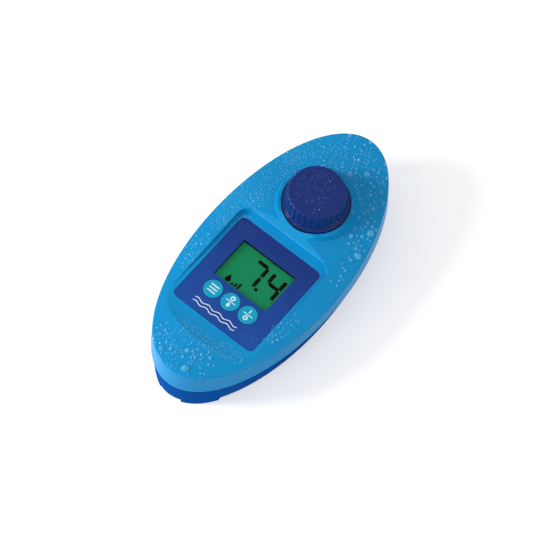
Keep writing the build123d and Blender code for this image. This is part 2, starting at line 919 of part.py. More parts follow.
def build():
    nodes = {
        "upper_shell": upper_shell(),
        "lower_shell": lower_shell(),
        "shell_seal": shell_seal(),
        "housing_screws": housing_screws(),
        "front_label": front_label(),
        "display_pane": display_pane(),
        "display_gasket": display_gasket(),
        "display_glass": display_glass(),
        "backlight_panel": backlight_panel(),
        "display_frame": display_frame(),
        "contact_strip": contact_strip(),
        "key_mat": key_mat(),
        "main_board": main_board(),
        "board_screws": board_screws(),
        "controller_chip": controller_chip(),
        "sample_cell": sample_cell(),
        "cell_seal": cell_seal(),
        "cell_window_left": cell_window(-1),
        "cell_window_right": cell_window(1),
        "lamp_holder": lamp_holder(),
        "lamp_board": small_board(-1),
        "sensor_holder": sensor_holder(),
        "sensor_board": small_board(1),
        "optical_filter": optical_filter(),
        "light_sensor": sensor_block(0),
        "battery_left": battery(-1),
        "battery_right": battery(1),
        "battery_bridge": battery_contact(1, -contact_far, contact_far, [1]),
        "battery_contact_left": battery_contact(-1, -contact_far, -contact_inset, [-1]),
        "battery_contact_right": battery_contact(-1, contact_inset, contact_far, [-1]),
        "battery_door": battery_door(),
        "door_gasket": door_gasket(),
        "door_screws": door_screws(),
        "cap_knob": cap_knob(),
        "cap_plug": cap_plug(),
        "cap_ring": cap_ring(),
    }
    for count, place in enumerate(lamp_places(), 1):
        nodes[f"lamp_{count}"] = lamp(place)
    for name, place in zip(key_names, key_places):
        nodes[f"key_{name}"] = key(place)
        nodes[f"plunger_{name}"] = key_plunger(place)
        nodes[f"switch_{name}"] = key_switch(place)
    return nodes


os.makedirs("parts", exist_ok=True)
for node_name, node_shape in build().items():
    export_step(node_shape, f"parts/{node_name}.step")
    print(node_name, round(node_shape.volume, 1))
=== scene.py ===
import json
import math
import random

import bmesh
import bpy
from mathutils import Matrix, Vector
from mathutils.bvhtree import BVHTree

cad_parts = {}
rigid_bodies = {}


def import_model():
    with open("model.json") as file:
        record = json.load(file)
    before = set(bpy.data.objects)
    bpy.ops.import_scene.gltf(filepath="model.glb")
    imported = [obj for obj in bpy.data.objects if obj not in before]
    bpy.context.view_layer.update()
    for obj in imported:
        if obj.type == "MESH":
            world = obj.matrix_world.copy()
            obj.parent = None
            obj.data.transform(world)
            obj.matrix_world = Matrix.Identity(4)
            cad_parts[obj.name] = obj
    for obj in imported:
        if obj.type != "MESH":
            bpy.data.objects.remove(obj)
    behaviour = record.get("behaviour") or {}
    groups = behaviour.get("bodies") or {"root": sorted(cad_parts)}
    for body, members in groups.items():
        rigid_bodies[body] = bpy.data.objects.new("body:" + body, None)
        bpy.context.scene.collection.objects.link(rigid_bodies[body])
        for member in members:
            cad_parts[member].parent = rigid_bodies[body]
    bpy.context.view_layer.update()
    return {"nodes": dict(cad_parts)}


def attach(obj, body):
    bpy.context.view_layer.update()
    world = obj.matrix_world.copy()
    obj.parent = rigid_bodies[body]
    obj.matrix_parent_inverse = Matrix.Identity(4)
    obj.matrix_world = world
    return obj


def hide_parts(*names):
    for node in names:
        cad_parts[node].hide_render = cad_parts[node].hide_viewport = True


# Looks of the pool water photometer. Sizes below are millimetres and degrees; the scene is in metres.

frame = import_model()
nodes = frame["nodes"]
mm = 0.001
print("frame loaded:", len(nodes), "nodes")


# Shader arithmetic

class Wire:
    # an output socket that takes Python's operators
    def __init__(self, tree, socket):
        self.tree = tree
        self.socket = socket

    def maths(self, operation, first, second):
        node = self.tree.nodes.new("ShaderNodeMath")
        node.operation = operation
        plug(self.tree, node.inputs[0], first)
        plug(self.tree, node.inputs[1], second)
        return Wire(self.tree, node.outputs[0])

    def __add__(self, other):
        return self.maths("ADD", self, other)

    def __radd__(self, other):
        return self.maths("ADD", other, self)

    def __sub__(self, other):
        return self.maths("SUBTRACT", self, other)

    def __rsub__(self, other):
        return self.maths("SUBTRACT", other, self)

    def __mul__(self, other):
        return self.maths("MULTIPLY", self, other)

    def __rmul__(self, other):
        return self.maths("MULTIPLY", other, self)

    def __gt__(self, other):
        return self.maths("GREATER_THAN", self, other)

    def __lt__(self, other):
        return self.maths("LESS_THAN", self, other)


def plug(tree, socket, value):
    # a number, colour or vector is written on the socket, a wire is linked to it
    if isinstance(value, Wire):
        tree.links.new(value.socket, socket)
    elif socket.type == "RGBA" and len(value) == 3:
        socket.default_value = (*value, 1)
    else:
        socket.default_value = value


class Finish:
    # one material and its nodes
    def __init__(self, name):
        self.material = bpy.data.materials.new(name)
        self.material.use_nodes = True
        self.tree = self.material.node_tree
        self.tree.nodes.clear()

    def node(self, kind, settings=None, sockets=None, out=0):
        made = self.tree.nodes.new("ShaderNode" + kind)
        for key, value in (settings or {}).items():
            if key == "stops":
                self.setStops(made.color_ramp, value)
            else:
                setattr(made, key, value)
        for key, value in (sockets or {}).items():
            plug(self.tree, made.inputs[key], value)
        return Wire(self.tree, made.outputs[out])

    def setStops(self, ramp, stops):
        for count, (position, colour) in enumerate(stops):
            stop = ramp.elements[count] if count < 2 else ramp.elements.new(position)
            stop.position = position
            stop.color = (*colour, 1)

    def place(self):
        return self.node("TexCoord", out="Object")

    def noise(self, size, detail=2.0, rough=0.5):
        # noise whose patches are about so many millimetres across
        sockets = {"Vector": self.place(), "Scale": 1 / (size * mm), "Detail": detail, "Roughness": rough}
        return self.node("TexNoise", None, sockets, out="Fac")

    def spread(self, value, low, high):
        # a 0 to 1 wire stretched to run from low to high
        return value * (high - low) + low

    def blend(self, mask, first, second):
        return self.node("Mix", {"data_type": "RGBA"}, {0: mask, 6: first, 7: second}, out=2)

    def rounded(self, radius):
        # softens the look of sharp moulded edges
        return self.node("Bevel", {"samples": 6}, {"Radius": radius * mm})

    def bump(self, height, depth, normal=None):
        sockets = {"Height": height, "Distance": depth * mm, "Strength": 1.0}
        if normal:
            sockets["Normal"] = normal
        return self.node("Bump", None, sockets)

    def facingUp(self):
        # 1 on level surfaces, 0 on upright ones
        facing = self.node("NewGeometry", out="Normal")
        up = self.parts(facing, "Z")[0]
        return self.node("MapRange", None, {"Value": up, "From Min": 0.35, "From Max": 0.85})

    def parts(self, vector, names):
        # the named ones of a vector's X, Y and Z
        split = self.node("SeparateXYZ", None, {0: vector})
        return self.outlets(split, names)

    def outlets(self, wire, names):
        # the named outputs of the node that a wire comes from
        return [Wire(self.tree, wire.socket.node.outputs[name]) for name in names]

    def surface(self, **sockets):
        named = {key.replace("_", " "): value for key, value in sockets.items()}
        return self.close(self.node("BsdfPrincipled", None, named))

    def close(self, shader):
        end = self.tree.nodes.new("ShaderNodeOutputMaterial")
        self.tree.links.new(shader.socket, end.inputs["Surface"])
        return self.material


def paint(code):
    # a colour written as on screen, turned into light values
    parts = [int(code[n:n + 2], 16) / 255 for n in (1, 3, 5)]
    return tuple(((c + 0.055) / 1.055) ** 2.4 if c > 0.04045 else c / 12.92 for c in parts)


def darker(code, share):
    return tuple(c * share for c in paint(code))


# Moulded plastics

mouldings = {
    # peel is the depth of a faint ripple, edge the rounding of sharp edges, coat a gloss on level faces
    "upperShell": {
        "colour": "#0a93d0", "shade": "#0a86c2", "rough": 0.27, "peel": 0.010, "edge": 0.50,
        "gloss": 0.03, "coat": 0.5,
    },
    "lowerShell": {
        "colour": "#1458ac", "shade": "#104e9c", "rough": 0.34, "peel": 0.014, "edge": 0.30,
        "gloss": 0.0, "coat": 0.5,
    },
    "capNavy": {
        "colour": "#152f78", "shade": "#11286a", "rough": 0.22, "peel": 0.010, "edge": 0.25, "gloss": 0.30,
    },
    "keyCyan": {
        "colour": "#149ec4", "shade": "#1096ba", "rough": 0.38, "peel": 0.010, "edge": 0.15, "gloss": 0.20,
    },
    "blackPlastic": {
        "colour": "#121417", "shade": "#0c0d10", "rough": 0.42, "peel": 0.012, "edge": 0.15, "gloss": 0.30,
    },
    "whitePlastic": {
        "colour": "#e4e6e6", "shade": "#dadddd", "rough": 0.40, "peel": 0.010, "edge": 0.10, "gloss": 0.30,
    },
    "diffuser": {
        "colour": "#eef2ee", "shade": "#e2e8e2", "rough": 0.55, "peel": 0.008, "edge": 0.10, "gloss": 0.30,
    },
}

panel = {"y": -18.9, "height": 32.65, "tilt": 2.86}
# paint is the near-black painted shadow on the display opening's walls
displayHole = {
    "width": 32.35, "length": 23.75, "offset": 6.0, "margin": 0.12, "below": 0.2, "paint": "#08120f",
}


def mouldedPlastic(name, paintedOpeningShadow=False):
    sizes = mouldings[name]
    finish = Finish(name)
    drift = finish.noise(28, detail=3)
    peel = finish.noise(1.1, detail=2)
    scuff = finish.noise(0.5, detail=4, rough=0.7)
    colour = finish.blend(drift, paint(sizes["colour"]), paint(sizes["shade"]))
    # painted shadow on the walls of the display opening
    if paintedOpeningShadow:
        colour = finish.blend(openingShadowMask(finish), colour, paint(displayHole["paint"]))
    rough = finish.spread(scuff, sizes["rough"] - 0.05, sizes["rough"] + 0.07)
    normal = finish.bump(peel, sizes["peel"], normal=finish.rounded(sizes["edge"]))
    coat = finish.facingUp() * sizes["coat"] if "coat" in sizes else 0.0
    return finish.surface(
        Base_Color=colour, Roughness=rough, Normal=normal, Specular_IOR_Level=sizes["gloss"],
        Coat_Weight=coat, Coat_Roughness=0.22, Coat_IOR=1.4,
    )


def openingShadowMask(finish):
    # painted shadow: the walls of the display opening are coloured near black inside the cyan housing,
    # standing in for the shade in the recess
    along, across, up = finish.parts(finish.place(), "XYZ")
    margin = displayHole["margin"]
    tilt = math.radians(panel["tilt"])
    middle = (panel["y"] + displayHole["offset"] * math.cos(tilt)) * mm
    halfWide = (displayHole["width"] / 2 + margin) * mm
    halfLong = (displayHole["length"] / 2 + margin) * mm
    inWidth = finish.node("Math", {"operation": "ABSOLUTE"}, {0: along}) < halfWide
    inLength = finish.node("Math", {"operation": "ABSOLUTE"}, {0: across - middle}) < halfLong
    return inWidth * inLength * (up < (panel["height"] - displayHole["below"]) * mm)


# Label, display and water

labelLightFadeAndPatches = {
    # the two ends of a painted light and shade fade along the instrument, lighter at the nose and darker at
    # the head, and the patches in it
    "nose": "#1a4fa2", "head": "#18347e", "from": -44.0, "to": 8.0, "deep": "#142e74", "drift": 0.35,
}
glass = {
    "face": ("#0a8456", "#0a7e52"), "glow": ("#0c9860", "#0b925c"), "strength": 0.20, "paneGloss": 0.35,
}


def labelFilm():
    # printed polyester with a fine satin grain; its blue is painted lighter towards the nose and darker
    # towards the head, as painted light and shade
    finish = Finish("labelFilm")
    drift = finish.noise(22, detail=2)
    grain = finish.noise(0.35, detail=2)
    along = finish.parts(finish.place(), "Y")[0]
    start, end = labelLightFadeAndPatches["from"] * mm, labelLightFadeAndPatches["to"] * mm
    # painted light and shade along the instrument
    paintedLightFade = finish.node("MapRange", None, {"Value": along, "From Min": start, "From Max": end})
    colour = finish.blend(paintedLightFade, paint(labelLightFadeAndPatches["nose"]), paint(labelLightFadeAndPatches["head"]))
    colour = finish.blend(drift * labelLightFadeAndPatches["drift"], colour, paint(labelLightFadeAndPatches["deep"]))
    rough = finish.spread(grain, 0.24, 0.34)
    normal = finish.bump(grain, 0.006, normal=finish.rounded(0.08))
    return finish.surface(Base_Color=colour, Roughness=rough, Normal=normal, Specular_IOR_Level=0.22)


def displayGreen():
    # green glass with a weak, slightly uneven light behind it
    finish = Finish("displayGreen")
    drift = finish.noise(9, detail=2)
    speck = finish.noise(0.25, detail=1)
    colour = finish.blend(drift, *[paint(code) for code in glass["face"]])
    glow = finish.blend(speck, *[paint(code) for code in glass["glow"]])
    return finish.surface(
        Base_Color=colour, Roughness=0.32, Emission_Color=glow, Emission_Strength=glass["strength"],
        Specular_IOR_Level=0.08,
    )


def clearPane():
    # thin clear plastic: seen through, with a slight gloss
    finish = Finish("clearPane")
    haze = finish.spread(finish.noise(6, detail=2), 0.04, 0.10)
    clear = finish.node("BsdfTransparent", None, {"Color": (0.97, 0.99, 0.98, 1)})
    gloss = finish.node("BsdfGlossy", None, {"Color": (1, 1, 1, 1), "Roughness": haze})
    share = finish.node("Fresnel", None, {"IOR": 1.35}) * glass["paneGloss"]
    return finish.close(finish.node("MixShader", None, {0: share, 1: clear, 2: gloss}))


def water(name, colour, thin, thick):
    # wet beads, some more see-through than others; their pale colour is painted light, standing in for the
    # light that the clear water catches and bends
    finish = Finish(name)
    swirl = finish.noise(2.4, detail=1)
    return finish.surface(
        Base_Color=paint(colour), Roughness=finish.spread(swirl, 0.05, 0.12),
        Alpha=finish.spread(swirl, thin, thick), Specular_IOR_Level=0.6,
    )


def inkPrint(name, colour, gloss=0.3):
    finish = Finish(name)
    patch = finish.noise(0.4, detail=2)
    tone = finish.blend(patch, paint(colour), darker(colour, 0.9))
    rough = finish.spread(patch, 0.38, 0.5)
    return finish.surface(Base_Color=tone, Roughness=rough, Specular_IOR_Level=gloss)


# Materials of the inside

battery = {"y": -18.0, "band": 9.0, "bare": 21.4}  # the middle of the cells, then distances from it


def clearLamp():
    finish = Finish("clearLamp")
    rough = finish.spread(finish.noise(1.2, detail=1), 0.03, 0.12)
    return finish.surface(Base_Color=(0.93, 0.96, 1.0), Roughness=rough, Transmission_Weight=0.8, IOR=1.45)


def softRubber(name, colour):
    finish = Finish(name)
    grain = finish.noise(0.3, detail=3)
    tone = finish.blend(grain, paint(colour), darker(colour, 0.8))
    return finish.surface(
        Base_Color=tone, Roughness=finish.spread(grain, 0.55, 0.75), Normal=finish.bump(grain, 0.02),
    )


def metal(name, colour, rough, stretch):
    # turned or rolled metal, its fine lines drawn out along one axis
    finish = Finish(name)
    lines = finish.node("Mapping", None, {"Vector": finish.place(), "Scale": stretch})
    grain = finish.node("TexNoise", None, {"Vector": lines, "Scale": 2500, "Detail": 3}, out="Fac")
    stain = finish.noise(5, detail=3)
    tone = finish.blend(stain, paint(colour), darker(colour, 0.82))
    return finish.surface(
        Base_Color=tone, Metallic=1.0, Roughness=finish.spread(grain, rough - 0.08, rough + 0.12),
        Normal=finish.bump(grain, 0.004, normal=finish.rounded(0.08)),
    )


def circuitBoard():
    # solder mask over copper tracks, as a fine pattern of steps
    finish = Finish("circuitBoard")
    spots = {"Vector": finish.place(), "Scale": 420}
    cells = finish.node("TexVoronoi", {"distance": "MANHATTAN"}, spots, out="Distance")
    tracks = finish.node("ValToRGB", {"stops": [(0.40, (0, 0, 0)), (0.46, (1, 1, 1))]}, {0: cells})
    mask = finish.node("RGBToBW", None, {0: tracks})
    colour = finish.blend(mask, paint("#1c6b3c"), paint("#145030"))
    return finish.surface(Base_Color=colour, Roughness=0.34, Normal=finish.bump(mask, 0.03))


def batteryWrap():
    # plain two-colour sleeve: dark body, copper-coloured plus end, bare steel at the tip
    finish = Finish("batteryWrap")
    across, along = finish.parts(finish.place(), "XY")
    side = (across > 0.0) * 2 - 1
    middle = battery["y"] * mm
    band = ((along - middle) * side) > battery["band"] * mm
    steel = ((along - middle) * side) > battery["bare"] * mm
    grain = finish.noise(1.5, detail=2)
    wrap = finish.blend(band, paint("#17181b"), paint("#b5713a"))
    colour = finish.blend(steel, wrap, paint("#c9ccce"))
    return finish.surface(
        Base_Color=colour, Metallic=steel * 0.9, Roughness=finish.spread(grain, 0.26, 0.36),
        Normal=finish.bump(grain, 0.01),
    )


# What each node is made of

upperShell = mouldedPlastic("upperShell", paintedOpeningShadow=True)
lowerShell = mouldedPlastic("lowerShell")
capNavy = mouldedPlastic("capNavy")
keyCyan = mouldedPlastic("keyCyan")
blackPlastic = mouldedPlastic("blackPlastic")
whitePlastic = mouldedPlastic("whitePlastic")
diffuser = mouldedPlastic("diffuser")
labelBlue = labelFilm()
lcdGreen = displayGreen()
paneClear = clearPane()
# the beads' pale blues are painted light
dropWater = water("dropWater", "#72d8fb", 0.15, 0.65)
filmWater = water("filmWater", "#5f86d8", 0.10, 0.45)
lampClear = clearLamp()
lcdInk = inkPrint("lcdInk", "#020403", gloss=0.0)
keyInk = inkPrint("keyInk", "#c9eef8")
labelInk = inkPrint("labelInk", "#e9eef6")
blackRubber = softRubber("blackRubber", "#1b1c1e")
greySilicone = softRubber("greySilicone", "#9a9da0")
zincSteel = metal("zincSteel", "#b9bcbf", 0.34, (1, 1, 0.15))
springMetal = metal("springMetal", "#c8b98c", 0.30, (0.15, 1, 1))
amberGlass = inkPrint("amberGlass", "#c8791c")
greenBoard = circuitBoard()
sleeve = batteryWrap()

dressing = {
    "upper_shell": upperShell, "lower_shell": lowerShell, "shell_seal": greySilicone,
    "housing_screws": zincSteel, "front_label": labelBlue, "display_pane": paneClear,
    "display_gasket": blackRubber, "display_glass": lcdGreen, "backlight_panel": diffuser,
    "display_frame": blackPlastic, "contact_strip": blackRubber, "key_mat": greySilicone,
    "main_board": greenBoard, "board_screws": zincSteel, "controller_chip": blackPlastic,
    "sample_cell": blackPlastic, "cell_seal": blackRubber, "cell_window_left": paneClear,
    "cell_window_right": paneClear, "lamp_holder": blackPlastic, "lamp_board": greenBoard,
    "sensor_holder": blackPlastic, "sensor_board": greenBoard, "optical_filter": amberGlass,
    "light_sensor": blackPlastic, "battery_left": sleeve, "battery_right": sleeve,
    "battery_bridge": springMetal, "battery_contact_left": springMetal,
    "battery_contact_right": springMetal, "battery_door": lowerShell, "door_gasket": blackRubber,
    "door_screws": zincSteel, "cap_knob": capNavy, "cap_plug": capNavy, "cap_ring": blackRubber,
    "lamp_1": lampClear, "lamp_2": lampClear, "lamp_3": lampClear,
}
for side in ("left", "middle", "right"):
    dressing[f"key_{side}"] = keyCyan
    dressing[f"plunger_{side}"] = whitePlastic
    dressing[f"switch_{side}"] = blackPlastic

for name, node in nodes.items():
    node.data.materials.clear()
    node.data.materials.append(dressing[name])
print("materials given to", len(dressing), "nodes")


# Building new pieces

def newPiece(name, bm, material, body, sharp=35):
    mesh = bpy.data.meshes.new(name)
    bm.to_mesh(mesh)
    bm.free()
    mesh.materials.append(material)
    mesh.shade_smooth()
    mesh.set_sharp_from_angle(angle=math.radians(sharp))
    piece = bpy.data.objects.new(name, mesh)
    bpy.context.scene.collection.objects.link(piece)
    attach(piece, body)
    return piece


def added(bm, build, place):
    # runs one build and puts what it made in place
    before = set(bm.verts)
    build(bm)
    made = [v for v in bm.verts if v not in before]
    bmesh.ops.transform(bm, matrix=place, verts=made)


def panelPlace(x, v, w, turn=0.0):
    # from the panel's own millimetres to the scene
    centre = Vector((0, panel["y"], panel["height"])) * mm
    lean = Matrix.Rotation(math.radians(-panel["tilt"]), 4, "X")
    local = Matrix.Translation(Vector((x, v, w)) * mm) @ Matrix.Rotation(math.radians(turn), 4, "Z")
    return Matrix.Translation(centre) @ lean @ local @ Matrix.Scale(mm, 4)


def raised(bm, faces, height):
    # gives flat faces their thickness
    made = bmesh.ops.extrude_face_region(bm, geom=faces)["geom"]
    verts = [g for g in made if isinstance(g, bmesh.types.BMVert)]
    bmesh.ops.translate(bm, vec=(0, 0, height), verts=verts)


def roundedBar(length, width, height, corner):
    def build(bm):
        verts = bmesh.ops.create_cube(bm, size=1)["verts"]
        bmesh.ops.scale(bm, vec=(length, width, height), verts=verts)
        edges = {e for v in verts for e in v.link_edges}
        upright = [e for e in bm.edges if e in edges and isUpright(e, height / 2)]
        bmesh.ops.bevel(
            bm, geom=upright, offset=corner, offset_type="OFFSET", segments=4, profile=0.5,
            affect="EDGES", material=-1,
        )
    return build


def isUpright(edge, least):
    low, high = edge.verts
    return abs(low.co.z - high.co.z) > least


def ringBar(radius, width, height):
    def build(bm):
        corners = [(-1, -1), (1, -1), (1, 1), (-1, 1)]
        verts = [bm.verts.new((radius + a * width / 2, 0, b * height / 2)) for a, b in corners]
        edges = [bm.edges.new((verts[n], verts[(n + 1) % 4])) for n in range(4)]
        bmesh.ops.spin(
            bm, geom=verts + edges, cent=(0, 0, 0), axis=(0, 0, 1), dvec=(0, 0, 0),
            angle=math.tau, steps=40, use_merge=True,
        )
    return build


def dropSign(radius, height, tip=1.9, waist=0.45):
    # the plain outline of a drop
    def build(bm):
        verts = bmesh.ops.create_circle(bm, cap_ends=True, segments=32, radius=radius)["verts"]
        for v in verts:
            if v.co.y > 0:
                share = v.co.y / radius
                v.co.x *= (1 - share) ** waist
                v.co.y *= tip
        raised(bm, [verts[0].link_faces[0]], height)
    return build


def waveLine(length, swing, count, width, height):
    def build(bm):
        verts = bmesh.ops.create_grid(bm, x_segments=64, y_segments=1, size=0.5)["verts"]
        for v in verts:
            phase = math.tau * count * v.co.x
            v.co = (v.co.x * length, v.co.y * width + swing * math.sin(phase), 0)
        raised(bm, list({f for v in verts for f in v.link_faces}), height)
    return build


def strip(bm, start, end, width, height, w):
    # a bar with round ends from one panel point to another
    run = Vector(end) - Vector(start)
    middle = (Vector(start) + Vector(end)) / 2
    turn = math.degrees(math.atan2(run.y, run.x))
    bar = roundedBar(run.length + width, width, height, width * 0.45)
    added(bm, bar, panelPlace(middle.x, middle.y, w, turn))


# Display reading: two seven-segment digits and a point, then a drop and three rising bars

reading = {
    "right": [2.35, 13.65], "digits": ["abc", "bcfg"], "wide": 6.85, "top": 14.2, "middle": 7.9, "low": 1.3,
    "stroke": 2.0, "gap": 1.35, "point": (4.62, 1.25), "pointSize": 1.7, "pointCorner": 0.2,
    "thick": 0.04, "w": -2.47,
}
legend = {
    "drop": (-9.6, -3.0), "radius": 1.5, "bars": (-6.3, -4.4), "barPitch": 1.8, "barWidth": 1.15,
    "barCorner": 0.15, "shortest": 1.2, "rise": 1.1,
}


def segmentEnds(letter, right):
    left = right - reading["wide"]
    gap = reading["gap"]
    top, middle, low = reading["top"], reading["middle"], reading["low"]
    ends = {
        "a": ((left + gap, top), (right - gap, top)),
        "b": ((right, top - gap), (right, middle + gap)),
        "c": ((right, middle - gap), (right, low + gap)),
        "f": ((left, top - gap), (left, middle + gap)),
        "g": ((left + gap, middle), (right - gap, middle)),
    }
    return ends[letter]


def displayReading():
    bm = bmesh.new()
    for right, letters in zip(reading["right"], reading["digits"]):
        for letter in letters:
            start, end = segmentEnds(letter, right)
            strip(bm, start, end, reading["stroke"], reading["thick"], reading["w"])
    size = reading["pointSize"]
    point = roundedBar(size, size, reading["thick"], reading["pointCorner"])
    added(bm, point, panelPlace(*reading["point"], reading["w"]))
    newPiece("display_digits", bm, lcdInk, "housing")


def displayLegend():
    bm = bmesh.new()
    added(bm, dropSign(legend["radius"], reading["thick"]), panelPlace(*legend["drop"], reading["w"]))
    x, low = legend["bars"]
    for count in range(3):
        tall = legend["shortest"] + legend["rise"] * count
        place = panelPlace(x + count * legend["barPitch"], low + tall / 2, reading["w"])
        added(bm, roundedBar(legend["barWidth"], tall, reading["thick"], legend["barCorner"]), place)
    newPiece("display_legend", bm, lcdInk, "housing")


displayReading()
displayLegend()
print("display reading made")


# Signs on the keys and lines on the label

keys = {
    "pitch": 10.86, "row": -12.86, "dish": 3.8, "dishDepth": 0.15, "inkTop": 0.215, "inkHeight": 0.03,
    "line": 0.75, "thinLine": 0.45, "long": 5.2, "rowPitch": 1.8, "rowHalf": 2.1,
    "ring": 0.95, "ringAt": 2.0, "drop": 0.95, "dropAt": -2.2, "stem": (1.3, 2.6),
}
waves = {
    "length": 26, "swing": 0.5, "count": 4, "width": 0.45, "thick": 0.03,
    "x": -2.0, "rows": [-21.6, -23.6], "w": -0.045,
}


def settleInDish(bm, x, v):
    # lifts a sign on to the hollow top of its key
    place = panelPlace(x, v, 0)
    back = place.inverted()
    for vert in bm.verts:
        local = back @ vert.co
        local.z += keys["dishDepth"] * (math.hypot(local.x, local.y) / keys["dish"]) ** 2
        vert.co = place @ local


def keyStrip(bm, start, end, width):
    strip(bm, start, end, width, keys["inkHeight"], keys["inkTop"])


def keyRing(bm, x, v):
    added(bm, ringBar(keys["ring"], keys["line"], keys["inkHeight"]), panelPlace(x, v, keys["inkTop"]))


def keySigns():
    half = keys["long"] / 2
    for side, name in enumerate(("left", "middle", "right"), -1):
        x, v = side * keys["pitch"], keys["row"]
        bm = bmesh.new()
        if name == "left":
            for row in (-1, 0, 1):
                height = v + row * keys["rowPitch"]
                keyStrip(bm, (x - keys["rowHalf"], height), (x + keys["rowHalf"], height), keys["line"])
        else:
            keyStrip(bm, (x - half, v), (x + half, v), keys["thinLine"])
        if name == "middle":
            keyRing(bm, x, v + keys["ringAt"])
            drop = dropSign(keys["drop"], keys["inkHeight"])
            added(bm, drop, panelPlace(x, v + keys["dropAt"], keys["inkTop"] - keys["inkHeight"] / 2))
        if name == "right":
            low, high = keys["stem"]
            keyStrip(bm, (x, v + low), (x, v + high), keys["line"])
            keyRing(bm, x, v - keys["ringAt"])
        settleInDish(bm, x, v)
        newPiece(f"key_sign_{name}", bm, keyInk, f"{name}_key")


def labelWaves():
    # plain water lines below the keys
    bm = bmesh.new()
    line = waveLine(waves["length"], waves["swing"], waves["count"], waves["width"], waves["thick"])
    for row in waves["rows"]:
        added(bm, line, panelPlace(waves["x"], row, waves["w"]))
    newPiece("label_waves", bm, labelInk, "housing")


keySigns()
labelWaves()
print("key signs and label lines made")


# Cap: fluted grip on a plain flange

cap = {
    "y": 34.5, "low": 38.2, "top": 50.7, "hollowed": 0.4, "flange": 16.8, "flangeTop": 40.0,
    "gripLow": 15.7, "gripTop": 14.45, "socket": 13.25, "socketTop": 40.2, "hollow": 11.7, "hollowTop": 48.5,
    "rounding": 0.9, "small": 0.35, "flutes": 30, "fluteRadius": 1.3, "fluteDepth": 0.55,
    "fluteStart": 0.7, "fluteFade": 1.2, "steps": 360, "rings": 14, "mergeGap": 0.0005,
}


def capProfile(bm):
    # half of the cap's section, from the hollow's roof round the outside to the crown
    rounds = {"small": cap["small"], "large": cap["rounding"]}
    corners = [
        (0, cap["hollowTop"], None), (cap["hollow"], cap["hollowTop"], "small"),
        (cap["hollow"], cap["socketTop"], None), (cap["socket"], cap["socketTop"], None),
        (cap["socket"], cap["low"], None), (cap["flange"], cap["low"], "small"),
        (cap["flange"], cap["flangeTop"], "small"), (cap["gripLow"], cap["flangeTop"], "small"),
        (cap["gripTop"], cap["top"], "large"), (0, cap["top"] - cap["hollowed"], None),
    ]
    verts = [bm.verts.new((radius, 0, z)) for radius, z, kind in corners]
    for low, high in zip(verts, verts[1:]):
        bm.edges.new((low, high))
    for kind, offset in rounds.items():
        chosen = [v for v, corner in zip(verts, corners) if corner[2] == kind]
        bmesh.ops.bevel(
            bm, geom=chosen, offset=offset, offset_type="OFFSET", segments=5, profile=0.5,
            affect="VERTICES", material=-1,
        )
    halfGrip = (cap["top"] - cap["flangeTop"]) / 2
    outer = [e for e in bm.edges if min(v.co.x for v in e.verts) > cap["socket"]]
    grip = [e for e in outer if isUpright(e, halfGrip)]
    bmesh.ops.subdivide_edges(bm, edges=grip, cuts=cap["rings"])


def fluteRadius(angle, z):
    # how far out the grip's surface lies at this angle and height
    rise = (z - cap["flangeTop"]) / (cap["top"] - cap["flangeTop"])
    side = cap["gripLow"] + (cap["gripTop"] - cap["gripLow"]) * rise
    pitch = math.tau / cap["flutes"]
    offset = ((angle + pitch / 2) % pitch - pitch / 2) * side
    reach = cap["fluteRadius"]
    if abs(offset) >= reach:
        return side
    depth = math.sqrt(reach**2 - offset**2) - (reach - cap["fluteDepth"])
    blend = min(max((z - cap["flangeTop"] - cap["fluteStart"]) / cap["fluteFade"], 0), 1)
    return side - max(depth, 0) * blend * blend * (3 - 2 * blend)


def cutFlutes(bm):
    for v in bm.verts:
        radius = math.hypot(v.co.x, v.co.y)
        if v.co.z < cap["flangeTop"] + cap["fluteStart"] or radius < cap["socket"]:
            continue
        allowed = fluteRadius(math.atan2(v.co.y, v.co.x), v.co.z)
        if radius > allowed:
            v.co.x *= allowed / radius
            v.co.y *= allowed / radius


def makeCap():
    bm = bmesh.new()
    capProfile(bm)
    bmesh.ops.spin(
        bm, geom=bm.verts[:] + bm.edges[:], cent=(0, 0, 0), axis=(0, 0, 1), dvec=(0, 0, 0),
        angle=math.tau, steps=cap["steps"], use_merge=True,
    )
    bmesh.ops.remove_doubles(bm, verts=bm.verts, dist=cap["mergeGap"])
    bmesh.ops.recalc_face_normals(bm, faces=bm.faces)
    cutFlutes(bm)
    place = Matrix.Translation(Vector((0, cap["y"], 0)) * mm) @ Matrix.Scale(mm, 4)
    bmesh.ops.transform(bm, matrix=place, verts=bm.verts)
    knob = newPiece("cap_grip", bm, capNavy, "cap", sharp=40)
    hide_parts("cap_knob")


makeCap()
print("cap made")


# Water drops: flattened beads thrown on to the top surfaces

beads = {
    "seed": 41, "sides": 10, "rings": 6, "cutBelow": -0.3, "batch": 30,
    "apart": 1.08, "flattest": 0.45, "step": 1.1, "cell": 4, "above": 100,
    "crowding": 0.6, "smallness": 2.5, "uneven": 0.3, "oval": 0.18,
}
